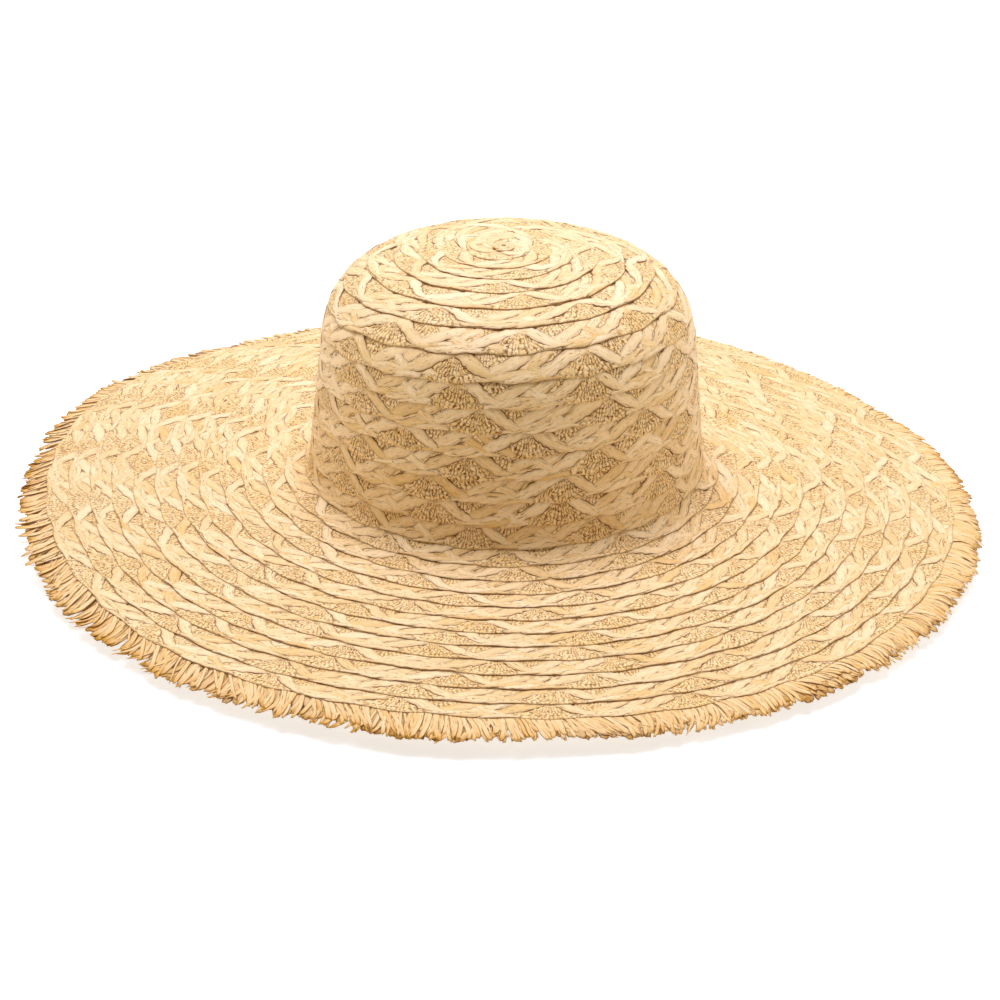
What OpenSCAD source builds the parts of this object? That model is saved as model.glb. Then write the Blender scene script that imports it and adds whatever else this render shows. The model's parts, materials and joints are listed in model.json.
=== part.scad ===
// Wide-brimmed straw sun hat, sewn from one long flat plait laid in a spiral.
// The surface is a turned profile given by its slope along the way from the
// middle of the crown to the edge, with a slow wave added to the brim. Every
// turn of the plait is its own solid. It laps over the next turn outwards.
// Frame: +Z up, the hat stands on its brim edge at z = 0, front is -Y, and the
// origin is the middle of the hat's outline.

/* [Plait] */
// Width of the flat plait
plait_w = 14.6; // [14.2:0.2:15.6]
// Thickness of the flat plait
plait_t = 1.2; // [0.8:0.1:1.2]
// Usual distance from one turn's edge to the next
pitch = 10.7; // [10.5:0.1:10.9]
// How far the lap lifts a turn's outer edge over the next turn
lap_rise = 1.5; // [1.45:0.05:1.7]
// Extra width taken up by the turns round the shoulder of the crown
shoulder_gain = 12.6; // [11:0.2:12.6]
// Distance from the start of the spiral to the first turn's edge at the front
first_edge = 15.5; // [14.9:0.2:16.1]

/* [Crown] */
// Slope of the crown tip at its rim, in degrees
tip_slope = 11; // [8:1:13]
// Distance from the middle to the rim of the crown tip
tip_len = 55.5; // [53:0.5:57]
// Distance from the middle to the end of the shoulder
shoulder_end = 113.5; // [111:0.5:115]
// Slope of the crown side, in degrees
side_slope = 84.5; // [83:0.5:85.5]
// Distance from the middle to the start of the bend into the brim
bend_start = 173.5; // [172.5:0.5:174.5]
// Distance from the middle to the end of the bend into the brim
bend_end = 184; // [183.5:0.5:186]
// How far the start of the spiral lies to the side of the crown's axis
start_dx = -3.7; // [-5.2:0.5:4.8]
// How far the start of the spiral lies behind the crown's axis
start_dy = 10.5; // [0:0.5:11]

/* [Brim] */
// Slope of the brim next to the crown, in degrees
brim_slope_in = 13.5; // [11:0.5:15]
// Slope of the middle of the brim, in degrees
brim_slope_mid = 5.5; // [4:0.5:8]
// Slope of the outer brim, in degrees
brim_slope_out = 7.5; // [5:0.5:10]
// Slope of the frayed edge, in degrees
fringe_slope = 17; // [12:1:20]
// Sideways tilt of the brim's edge, lift at +X
wave_1x = -4.2; // [-6:0.2:6]
// Fore and aft tilt of the brim's edge, lift at +Y
wave_1y = -2; // [-6:0.5:6]
// Saddle wave of the brim's edge, along the axes
wave_2x = 2.2; // [-4:0.2:4]
// Saddle wave of the brim's edge, between the axes
wave_2y = -1.2; // [-4:0.2:4]
// Three-lobed wave of the brim's edge, lift at +X
wave_3x = -1; // [-2:0.2:2]
// Three-lobed wave of the brim's edge, lift between
wave_3y = 0.4; // [-2:0.2:2]
// Four-lobed wave of the brim's edge, lift at +X
wave_4x = 1.6; // [-2:0.2:2]
// Four-lobed wave of the brim's edge, lift between
wave_4y = -1.4; // [-2:0.2:2]

/* [Edge and lining] */
// Length of the frayed straws beyond the last turn
fringe_len = 14.5; // [12:0.5:15.5]
// Thickness of the frayed straws as a layer
fringe_t = 0.7; // [0.5:0.1:0.7]
// Width of the tape that holds the frayed straws
header_w = 8; // [6:0.5:9]
// Inner radius of the sweatband, 57 cm round
band_r = 90.2; // [89:0.1:90.2]
// Height of the sweatband
band_h = 28; // [24:1:30]
// Diameter of the sewing thread
thread_d = 0.5; // [0.4:0.05:0.6]

/* [Hidden] */

crown_turns = 15;               // turns in the crown, after the button
last = 26;                      // number of the outermost turn, from 0
seg = 48;                       // straight segments to a turn
gap_deg = 0.15;                 // clearance where one turn's solid follows another
len_max = 345;

// smooth step from 0 to 1
function ss(x) = let(c = min(1, max(0, x))) c * c * (3 - 2 * c);

// slope of the surface, in degrees, at distance s from the middle
function slope(s) =
    tip_slope * min(1, max(0, s / tip_len))
    + (side_slope - tip_slope) * ss((s - tip_len) / (shoulder_end - tip_len))
    + (brim_slope_in - side_slope) * ss((s - bend_start) / (bend_end - bend_start))
    + (brim_slope_mid - brim_slope_in) * ss((s - bend_end) / 30)
    + (brim_slope_out - brim_slope_mid) * ss((s - 240) / 32)
    + (fringe_slope - brim_slope_out) * ss((s - (edge(last) - 1)) / 6);

// lower edge of the plait after t turns, as a distance along the surface
function edge(t) = first_edge + pitch * t + shoulder_gain * ss((t - 1.5) / 6);
// distance between the edges of neighbouring turns there
function local_pitch(t) = edge(t + 0.5) - edge(t - 0.5);
// the last turn runs back to a closed outline as the plait tapers off
function hat_edge(t) =
    let(b = ss((t - (last + 0.2)) / 0.3))
    edge(t) * (1 - b) + edge(last - 0.5) * b;

// profile, one point per millimetre of surface
tab_r = [for (i = 0, a = 0; i <= len_max; a = a + cos(slope(i + 0.5)), i = i + 1) [i, a]];
tab_z = [for (i = 0, a = 0; i <= len_max; a = a - sin(slope(i + 0.5)), i = i + 1) [i, a]];
function pr(s) = lookup(s, tab_r);
function pz(s) = lookup(s, tab_z);
base_r = pr(bend_end);
rim_r = pr(edge(last));

// height of the brim's wave at radius r and angle a
function wave(r, a) =
    pow(min(1.12, max(0, (r - base_r) / (rim_r - base_r))), 1.3)
    * (wave_1x * cos(a) + wave_1y * sin(a) + wave_2x * cos(2 * a) + wave_2y * sin(2 * a)
     + wave_3x * cos(3 * a) + wave_3y * sin(3 * a) + wave_4x * cos(4 * a) + wave_4y * sin(4 * a));

// the spiral's own middle moves to the crown's axis by the foot of the crown
function shift(u) = 1 - ss((u - 42) / 152);

// point at distance u from the spiral's middle and angle f, off above the surface
function raw(u, f, off) =
    let(g = shift(u),
        qx = start_dx * g + u * cos(f), qy = start_dy * g + u * sin(f),
        s = norm([qx, qy]), a = atan2(qy, qx), sl = slope(s),
        r = pr(s), rr = r + off * sin(sl))
    [rr * cos(a), rr * sin(a), pz(s) + wave(r, a) + off * cos(sl)];

// place of the raw shape in the hat's frame
rim_pts = [for (j = [0 : seg - 1]) let(f = 90 - 360 * j / seg, t = last - (f + 90) / 360 )
    raw(hat_edge(t) + fringe_len, f, -fringe_t)];
mid_x = (max([for (p = rim_pts) p[0]]) + min([for (p = rim_pts) p[0]])) / 2;
mid_y = (max([for (p = rim_pts) p[1]]) + min([for (p = rim_pts) p[1]])) / 2;
low_z = min([for (p = rim_pts) p[2]]);
function at(u, f, off) = raw(u, f, off) - [mid_x, mid_y, low_z];

// mid-plane of the plait above the surface, d back from its lower edge
function tilt(d, t) = lap_rise * (plait_w / 2 - d) / pitch
    + lap_rise * d * (1 / pitch - 1 / local_pitch(t));

// a strip through cross-sections, each a ring of points in the same order
module strip(rings, closed = false) {
    n = len(rings);
    m = len(rings[0]);
    pts = [for (r = rings) each r];
    sides = [for (i = [0 : n - (closed ? 1 : 2)], k = [0 : m - 1])
        let(a = i * m + k, b = i * m + (k + 1) % m,
            c = ((i + 1) % n) * m + (k + 1) % m, d = ((i + 1) % n) * m + k) each [[a, b, c], [a, c, d]]];
    caps = closed ? [] : [[for (k = [m - 1 : -1 : 0]) k],
                          [for (k = [0 : m - 1]) (n - 1) * m + k]];
    polyhedron(points = pts, faces = concat(sides, caps), convexity = 10);
}

// angle of the spiral after t turns: the front is reached at whole turns
function turn_angle(t) = -90 - 360 * t;

// cross-section of the plait: k + 1 points over its top, then its underside
function plait_section(t, f, k) =
    let(lo = hat_edge(t), hi = max(0.8, lo - plait_w), w = lo - hi)
    concat([for (i = [0 : k]) at(hi + w * i / k, f, tilt(w * (1 - i / k), t) + plait_t / 2)],
           [for (i = [k : -1 : 0]) at(hi + w * i / k, f, tilt(w * (1 - i / k), t) - plait_t / 2)]);

// one turn of the plait, with n its number from the middle
module course(n, k) {
    strip([for (j = [0 : seg])
        let(t = n - 0.5 + j / seg, e = j == seg ? gap_deg : 0)
        plait_section(t, turn_angle(t) + e, k)]);
}

straw = [0.88, 0.74, 0.52];
straw_light = [0.93, 0.82, 0.62];
straw_dark = [0.80, 0.62, 0.38];

module crown_button() {
    c = at(0.01, 0, 0);
    color(straw_light) translate(c + [0, 0, 1.55]) rotate_extrude($fn = 48)
        polygon([[0, 0], [6.2, 0], [6.5, 0.3], [6.5, 0.8], [6.0, 1.2], [0, 1.4]]);
}

module crown_tip_course_1() { color(straw_light) course(0, 2); }
module crown_tip_course_2() { color(straw_light) course(1, 2); }
module crown_tip_course_3() { color(straw_light) course(2, 2); }
module crown_tip_course_4() { color(straw_light) course(3, 2); }
module crown_tip_course_5() { color(straw_light) course(4, 2); }
module crown_shoulder_course_1() { color(straw) course(5, 2); }
module crown_shoulder_course_2() { color(straw) course(6, 2); }
module crown_shoulder_course_3() { color(straw) course(7, 2); }
module crown_shoulder_course_4() { color(straw) course(8, 2); }
module crown_side_course_1() { color(straw) course(9, 1); }
module crown_side_course_2() { color(straw) course(10, 1); }
module crown_side_course_3() { color(straw) course(11, 1); }
module crown_side_course_4() { color(straw) course(12, 1); }
module crown_side_course_5() { color(straw) course(13, 2); }
module crown_side_course_6() { color(straw) course(14, 4); }
module brim_course_01() { color(straw) course(15, 4); }
module brim_course_02() { color(straw) course(16, 2); }
module brim_course_03() { color(straw) course(17, 1); }
module brim_course_04() { color(straw) course(18, 1); }
module brim_course_05() { color(straw) course(19, 1); }
module brim_course_06() { color(straw) course(20, 1); }
module brim_course_07() { color(straw) course(21, 1); }
module brim_course_08() { color(straw) course(22, 1); }
module brim_course_09() { color(straw) course(23, 1); }
module brim_course_10() { color(straw) course(24, 1); }
module brim_course_11() { color(straw) course(25, 1); }
module brim_course_12() { color(straw) course(26, 1); }

// a flat ring under the last turn, from d0 to d1 back from its edge, with its
// top top0 and top1 under the plait's mid-plane and thickness th
function under(d, drop) = tilt(max(0, d), last) - plait_t / 2 - drop;
module edge_ring(d0, d1, drop, th0, th1) {
    strip([for (j = [0 : seg - 1])
        let(t = last - 0.5 + j / seg, f = turn_angle(t), e = hat_edge(t))
        [at(e - d0, f, under(d0, drop)), at(e - d1, f, under(d1, drop)),
         at(e - d1, f, under(d1, drop) - th1), at(e - d0, f, under(d0, drop) - th0)]], true);
}

module fringe_header_tape() { color(straw_dark) edge_ring(1.1 + header_w, 1.1, 0.12, 0.6, 0.6); }
module straw_fringe() { color(straw_dark) edge_ring(1, -fringe_len, 0.12, fringe_t, fringe_t * 0.7); }

// the sweatband stands on the inside of the crown's foot, thicker at its hem
band_z0 = pz(bend_start - 1) - low_z;
band_z1 = band_z0 + band_h;
function side_r(z) = let(s = bend_start - 1 - (z - band_z0) / sin(side_slope))
    pr(s) - lap_rise * plait_w / 2 / pitch - plait_t / 2 - 0.6;
module sweatband() {
    color([0.86, 0.80, 0.70]) translate([-mid_x, -mid_y, 0]) rotate_extrude($fn = 180)
        polygon([[band_r, band_z0 + 0.3], [band_r + 0.3, band_z0], [side_r(band_z0), band_z0],
                 [side_r(band_z1), band_z1], [band_r, band_z1]]);
}
module sweatband_stitching() {
    color([0.90, 0.86, 0.78]) translate([-mid_x, -mid_y, band_z0 - thread_d / 2 - 0.1])
        rotate_extrude($fn = 120) translate([(band_r + side_r(band_z0)) / 2, 0])
            circle(d = thread_d, $fn = 16);
}

// thread along the lap, on the straight piece of the plait's top that ends at
// the lower edge, back from that edge by back
function on_top(t, f, back, k) =
    let(lo = hat_edge(t), hi = max(0.8, lo - plait_w), w = (lo - hi) / k,
        a = at(lo, f, tilt(0, t) + plait_t / 2), b = at(lo - w, f, tilt(w, t) + plait_t / 2),
        x = (b - a) / norm(b - a), h = at(lo, f, 9) - at(lo, f, 8))
    [a + x * (back - thread_d / 2) + h * 0.12, a + x * back + h * (0.12 + thread_d * 0.8),
     a + x * (back + thread_d / 2) + h * 0.12];
module thread_spiral(t0, t1) {
    strip([for (j = [0 : round((t1 - t0) * seg)])
        let(t = t0 + j / seg,
            n = floor(t + 0.5 + 0.0001),
            k = (n >= 9 && n <= 12) || n >= 17 ? 1 : (n == 14 || n == 15 ? 4 : 2))
        on_top(t, turn_angle(t), 2.4, k)]);
}
module crown_seam_stitching() { color([0.90, 0.86, 0.78]) thread_spiral(0.5, crown_turns - 0.5 - 2 / seg); }
module brim_seam_stitching() { color([0.90, 0.86, 0.78]) thread_spiral(crown_turns - 0.5 + 2 / seg, last + 0.5 - 2 / seg); }

crown_button();
crown_tip_course_1();
crown_tip_course_2();
crown_tip_course_3();
crown_tip_course_4();
crown_tip_course_5();
crown_shoulder_course_1();
crown_shoulder_course_2();
crown_shoulder_course_3();
crown_shoulder_course_4();
crown_side_course_1();
crown_side_course_2();
crown_side_course_3();
crown_side_course_4();
crown_side_course_5();
crown_side_course_6();
brim_course_01();
brim_course_02();
brim_course_03();
brim_course_04();
brim_course_05();
brim_course_06();
brim_course_07();
brim_course_08();
brim_course_09();
brim_course_10();
brim_course_11();
brim_course_12();
fringe_header_tape();
straw_fringe();
sweatband();
sweatband_stitching();
crown_seam_stitching();
brim_seam_stitching();
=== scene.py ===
"""Straw sun hat: the visible model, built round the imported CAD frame. Metres, +Z up, front of the hat at -Y."""
import json
import math
import bpy
import numpy as np
from mathutils import Matrix, Vector

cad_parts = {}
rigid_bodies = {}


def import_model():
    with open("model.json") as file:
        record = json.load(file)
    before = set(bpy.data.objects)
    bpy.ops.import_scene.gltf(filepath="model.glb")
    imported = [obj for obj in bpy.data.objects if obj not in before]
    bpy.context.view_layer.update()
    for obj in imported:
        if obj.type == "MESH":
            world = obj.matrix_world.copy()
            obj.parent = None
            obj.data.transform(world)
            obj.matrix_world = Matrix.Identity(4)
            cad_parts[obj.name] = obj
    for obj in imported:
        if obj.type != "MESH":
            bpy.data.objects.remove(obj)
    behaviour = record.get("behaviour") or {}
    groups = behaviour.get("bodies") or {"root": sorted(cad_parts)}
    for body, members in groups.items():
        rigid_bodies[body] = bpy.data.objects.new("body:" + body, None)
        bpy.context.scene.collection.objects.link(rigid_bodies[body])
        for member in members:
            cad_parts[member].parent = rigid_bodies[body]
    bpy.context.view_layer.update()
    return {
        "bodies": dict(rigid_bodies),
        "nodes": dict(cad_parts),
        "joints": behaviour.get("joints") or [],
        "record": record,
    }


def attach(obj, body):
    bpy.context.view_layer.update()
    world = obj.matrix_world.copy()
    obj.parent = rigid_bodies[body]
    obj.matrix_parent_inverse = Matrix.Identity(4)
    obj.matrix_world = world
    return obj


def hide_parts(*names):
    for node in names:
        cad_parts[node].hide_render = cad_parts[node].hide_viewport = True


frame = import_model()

RNG = np.random.default_rng(20417)

# ---------------------------------------------------------------- shape, repeated from part.scad (mm, degrees)
PLAIT_W, PITCH, LAP_RISE = 14.6, 10.7, 1.5
SHOULDER_GAIN, FIRST_EDGE = 12.6, 15.5
TIP_SLOPE, TIP_LEN, SHOULDER_END, SIDE_SLOPE = 11.0, 55.5, 113.5, 84.5
BEND_START, BEND_END = 173.5, 184.0
DX, DY = -3.7, 10.5
BRIM_IN, BRIM_MID, BRIM_OUT, FRINGE_SLOPE = 13.5, 5.5, 7.5, 17.0
WAVE = (-4.2, -2.0, 2.2, -1.2, -1.0, 0.4, 1.6, -1.4)
BASE_R, RIM_R = 102.371, 223.602
MID_X, MID_Y, LOW_Z = -2.27388, -2.55812, -137.203
AXIS_X, AXIS_Y = 2.27388, 2.55812
BAND_R, BAND_Z0, BAND_Z1, SIDE_R0, SIDE_R1 = 90.2, 34.4125, 62.4125, 93.79, 91.09
LAST = 26


def ss(x):
    x = np.clip(x, 0.0, 1.0)
    return x * x * (3 - 2 * x)


def edge(t):
    return FIRST_EDGE + PITCH * t + SHOULDER_GAIN * ss((t - 1.5) / 6.0)


def hat_edge(t):
    b = ss((t - 26.2) / 0.3)
    return edge(t) * (1 - b) + edge(25.5) * b


def slope(s):
    v = TIP_SLOPE * np.clip(s / TIP_LEN, 0, 1)
    v = v + (SIDE_SLOPE - TIP_SLOPE) * ss((s - TIP_LEN) / (SHOULDER_END - TIP_LEN))
    v = v + (BRIM_IN - SIDE_SLOPE) * ss((s - BEND_START) / (BEND_END - BEND_START))
    v = v + (BRIM_MID - BRIM_IN) * ss((s - BEND_END) / 30.0)
    v = v + (BRIM_OUT - BRIM_MID) * ss((s - 240.0) / 32.0)
    return v + (FRINGE_SLOPE - BRIM_OUT) * ss((s - (edge(26.0) - 1)) / 6.0)


_i = np.arange(0, 360)
_sl = np.radians(slope(_i + 0.5))
_PR = np.concatenate([[0.0], np.cumsum(np.cos(_sl))])
_PZ = np.concatenate([[0.0], -np.cumsum(np.sin(_sl))])
_S = np.arange(len(_PR))


def wave(r, a):
    k = np.clip((r - BASE_R) / (RIM_R - BASE_R), 0, 1.12) ** 1.3
    w = WAVE
    return k * (w[0] * np.cos(a) + w[1] * np.sin(a) + w[2] * np.cos(2 * a) + w[3] * np.sin(2 * a)
                + w[4] * np.cos(3 * a) + w[5] * np.sin(3 * a) + w[6] * np.cos(4 * a) + w[7] * np.sin(4 * a))


def at(u, f, off):
    """A point on the hat in metres: u along the profile (mm), f its turn angle (degrees), off its height off the surface (mm)."""
    g = 1 - ss((u - 42.0) / 152.0)
    fr = np.radians(f)
    qx = DX * g + u * np.cos(fr)
    qy = DY * g + u * np.sin(fr)
    s = np.hypot(qx, qy)
    a = np.arctan2(qy, qx)
    sl = np.radians(slope(s))
    pr = np.interp(s, _S, _PR)
    pz = np.interp(s, _S, _PZ)
    rr = pr + off * np.sin(sl)
    return np.stack([rr * np.cos(a) - MID_X, rr * np.sin(a) - MID_Y, pz + wave(pr, a) + off * np.cos(sl) - LOW_Z], -1) * 0.001


def tilt(d, t):
    lp = edge(t + 0.5) - edge(t - 0.5)
    return LAP_RISE * (PLAIT_W / 2 - d) / PITCH + LAP_RISE * d * (1 / PITCH - 1 / lp)


def on_plait(t, d, z):
    """A point on the sewn plait: t turns along the spiral, d mm back from its lower edge, z mm off its middle."""
    return at(hat_edge(t) - d, -90 - 360 * t, tilt(d, t) + z)


# ---------------------------------------------------------------- mesh building
class Buf:
    """Vertices, faces and per-vertex facts of one piece."""

    def __init__(self):
        self.v, self.f, self.m, self.tint, self.fib, self.n = [], [], [], [], [], 0

    def add(self, v, faces, mat, tint, fib):
        self.v.append(v.reshape(-1, 3))
        for f in faces:
            self.f.append(f + self.n)
            self.m.append(np.full(len(f), mat, dtype=np.int32))
        self.tint.append(tint.reshape(-1, 4))
        self.fib.append(fib.reshape(-1, 3))
        self.n += v.reshape(-1, 3).shape[0]

    def make(self, name, mats, smooth=True):
        me = bpy.data.meshes.new(name)
        v = np.concatenate(self.v).astype(np.float32)
        loops = np.concatenate([f.reshape(-1) for f in self.f]).astype(np.int32)
        tot = np.concatenate([np.full(len(f), f.shape[1], dtype=np.int32) for f in self.f])
        start = np.concatenate([[0], np.cumsum(tot)[:-1]]).astype(np.int32)
        me.vertices.add(len(v))
        me.vertices.foreach_set("co", v.reshape(-1))
        me.loops.add(len(loops))
        me.loops.foreach_set("vertex_index", loops)
        me.polygons.add(len(tot))
        me.polygons.foreach_set("loop_start", start)
        me.polygons.foreach_set("loop_total", tot)
        me.polygons.foreach_set("material_index", np.concatenate(self.m))
        me.polygons.foreach_set("use_smooth", np.full(len(tot), smooth))
        a = me.attributes.new("tint", "FLOAT_COLOR", "POINT")
        a.data.foreach_set("color", np.concatenate(self.tint).astype(np.float32).reshape(-1))
        b = me.attributes.new("fibre", "FLOAT_VECTOR", "POINT")
        b.data.foreach_set("vector", np.concatenate(self.fib).astype(np.float32).reshape(-1))
        me.update(calc_edges=True)
        me.validate()
        o = bpy.data.objects.new(name, me)
        bpy.context.scene.collection.objects.link(o)
        for mt in mats:
            me.materials.append(mt)
        return o


def loft_faces(reps, s, c):
    """Faces of reps closed tubes, each of s rows of c vertices, with end caps."""
    j, k = np.meshgrid(np.arange(s - 1), np.arange(c), indexing="ij")
    q = np.stack([j * c + k, j * c + (k + 1) % c, (j + 1) * c + (k + 1) % c, (j + 1) * c + k], -1).reshape(-1, 4)
    caps = np.stack([np.arange(c)[::-1], (s - 1) * c + np.arange(c)])
    base = (np.arange(reps) * s * c)[:, None, None]
    return (q[None] + base).reshape(-1, 4), (caps[None] + base).reshape(-1, c)


NB = 4  # rows of vertices under a crinkled piece


def slab_faces(reps, nj, nk):
    """Faces of reps closed slabs: an nj by nk grid on top, and NB rows of nj vertices underneath."""
    j, k = np.meshgrid(np.arange(nj - 1), np.arange(nk - 1), indexing="ij")
    top = np.stack([j * nk + k, (j + 1) * nk + k, (j + 1) * nk + k + 1, j * nk + k + 1], -1).reshape(-1, 4)
    jj = np.arange(nj - 1)
    r0 = [nj * nk + m * nj for m in range(NB)]
    front = np.stack([jj * nk, r0[0] + jj, r0[0] + jj + 1, (jj + 1) * nk], -1)
    back = np.stack([jj * nk + nk - 1, (jj + 1) * nk + nk - 1, r0[-1] + jj + 1, r0[-1] + jj], -1)
    under = [np.stack([r0[m] + jj, r0[m + 1] + jj, r0[m + 1] + jj + 1, r0[m] + jj + 1], -1) for m in range(NB - 1)]
    q = np.concatenate([top, front, back] + under)
    e0 = np.concatenate([np.arange(nk), r0[::-1]])
    e1 = np.concatenate([((nj - 1) * nk + np.arange(nk))[::-1], [r + nj - 1 for r in r0]])
    n = nj * nk + NB * nj
    base = (np.arange(reps) * n)[:, None, None]
    return (q[None] + base).reshape(-1, 4), (np.stack([e0, e1])[None] + base).reshape(-1, nk + NB)


def catmull(n_ctrl, n_out):
    """Matrix that turns n_ctrl points into n_out points of a smooth curve through them, with their along-curve slopes."""
    b = np.zeros((n_out, n_ctrl))
    x = np.linspace(0, n_ctrl - 1, n_out)
    for r, xx in enumerate(x):
        i = min(int(xx), n_ctrl - 2)
        s = xx - i
        w = [-0.5 * s + s * s - 0.5 * s ** 3, 1 - 2.5 * s * s + 1.5 * s ** 3, 0.5 * s + 2 * s * s - 1.5 * s ** 3, -0.5 * s * s + 0.5 * s ** 3]
        for o, ww in zip((-1, 0, 1, 2), w):
            p = i + o
            if p < 0:
                b[r, 0] += 2 * ww
                b[r, 1] -= ww
            elif p > n_ctrl - 1:
                b[r, n_ctrl - 1] += 2 * ww
                b[r, n_ctrl - 2] -= ww
            else:
                b[r, p] += ww
    return b


def noise2(x, y, seed):
    """Smooth value noise from -1 to 1."""
    xi, yi = np.floor(x).astype(np.int64), np.floor(y).astype(np.int64)
    fx, fy = x - xi, y - yi
    fx, fy = fx * fx * (3 - 2 * fx), fy * fy * (3 - 2 * fy)

    def h(a, b):
        n = (a * 374761393 + b * 668265263 + seed * 974711) & 0xFFFFFFFF
        n = ((n ^ (n >> 13)) * 1274126177) & 0xFFFFFFFF
        return ((n ^ (n >> 16)) & 0xFFFF) / 32767.5 - 1
    return (h(xi, yi) * (1 - fx) + h(xi + 1, yi) * fx) * (1 - fy) + (h(xi, yi + 1) * (1 - fx) + h(xi + 1, yi + 1) * fx) * fy


# ---------------------------------------------------------------- where each repeat of the plait falls along the spiral
T = 58.6  # length of one repeat of the pattern, in its own units of 1.05 mm
K = 1.05
SEEN = {
    5: (-116, -56), 6: (-129, -85, -41), 7: (-143, -105, -64.5, -26), 8: (-141, -102, -65, -30), 9: (-136, -97, -60),
    10: (-120.5, -82.5, -46), 11: (-137, -100, -63, -26), 12: (-147, -112, -73.5, -38), 13: (-143, -110, -74, -39),
    14: (-133, -99, -64, -35), 15: (-154, -123.5, -90, -55.5), 16: (-143, -117, -87.5, -58),
    17: (-162, -138, -109, -82.5, -55, -28.5), 18: (-148, -124, -99, -73.5, -48, -24),
    19: (-133, -108, -83.5, -61.5, -38.5, -18.5), 20: (-139, -116.5, -94, -71, -48.5, -28),
    21: (-141, -121, -98.5, -76.5, -56, -35, -17), 22: (-139.5, -120.5, -100, -79, -58.5, -39, -21.5, -5),
    23: (-149, -130, -112.5, -91, -74, -54, -37.5), 24: (-134, -114, -96.5, -78, -59.5, -42.5, -27.5, -11),
    25: (-137, -119, -101.5, -83, -65, -47.5, -33, -17), 26: (-137, -118.5, -102, -84, -67.5, -51, -35, -20.5, -5),
}
tt = np.linspace(-0.62, 26.62, 30000)
arc = np.concatenate([[0], np.cumsum(np.diff(tt) * 2 * np.pi * (np.interp(edge(tt[1:]) - 5.5, _S, _PR)))])
fixed = sorted((-90 - a) / 360 + n for n, angs in SEEN.items() for a in angs)
marks = [fixed[0]]
for a, b in zip(fixed[:-1], fixed[1:]):
    la, lb = np.interp([a, b], tt, arc)
    k = max(1, int(round((lb - la) / (T * K))))
    marks += list(np.interp(la + (lb - la) * np.arange(1, k + 1) / k, arc, tt))
l0, l1 = np.interp([marks[0], marks[-1]], tt, arc)
before = list(np.interp(np.arange(l0 - T * K, -1, -T * K)[::-1], arc, tt)) if l0 > T * K else []
after = list(np.interp(np.arange(l1 + T * K, arc[-1], T * K), arc, tt))
MARKS = np.array(before + marks + after)
NREP = len(MARKS)
IDX = np.arange(NREP)


def t_of(i, x):
    """Turns along the spiral for x pattern units to the right of repeat i's crinkled patch."""
    p = i - x / T
    t = np.interp(p, IDX, MARKS)
    lo, hi = MARKS[1] - MARKS[0], MARKS[-1] - MARKS[-2]
    t = np.where(p < 0, MARKS[0] + p * lo, t)
    return np.where(p > NREP - 1, MARKS[-1] + (p - NREP + 1) * hi, t)


LO_T, HI_T = -0.5, 26.5


def courses_of(i, x):
    """Which course each repeat's element belongs to, from its middle."""
    return np.clip(np.floor(t_of(i, x) + 0.5).astype(int), -1, 27)


bufs = {n: Buf() for n in range(0, LAST + 1)}


RELIEF = 0.8  # how much of their drawn height the pressed straws keep


def lie(d, z):
    """Height off the plait's middle at d mm from the lower edge: the straws turn down at both edges and lie fuller towards the lap."""
    return z - 0.12 + 0.46 * ss((d - 4.0) / 5.5) - 0.40 * np.exp(-d / 0.5) - 0.3 * np.exp(-(PLAIT_W - d) / 0.6)


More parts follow.
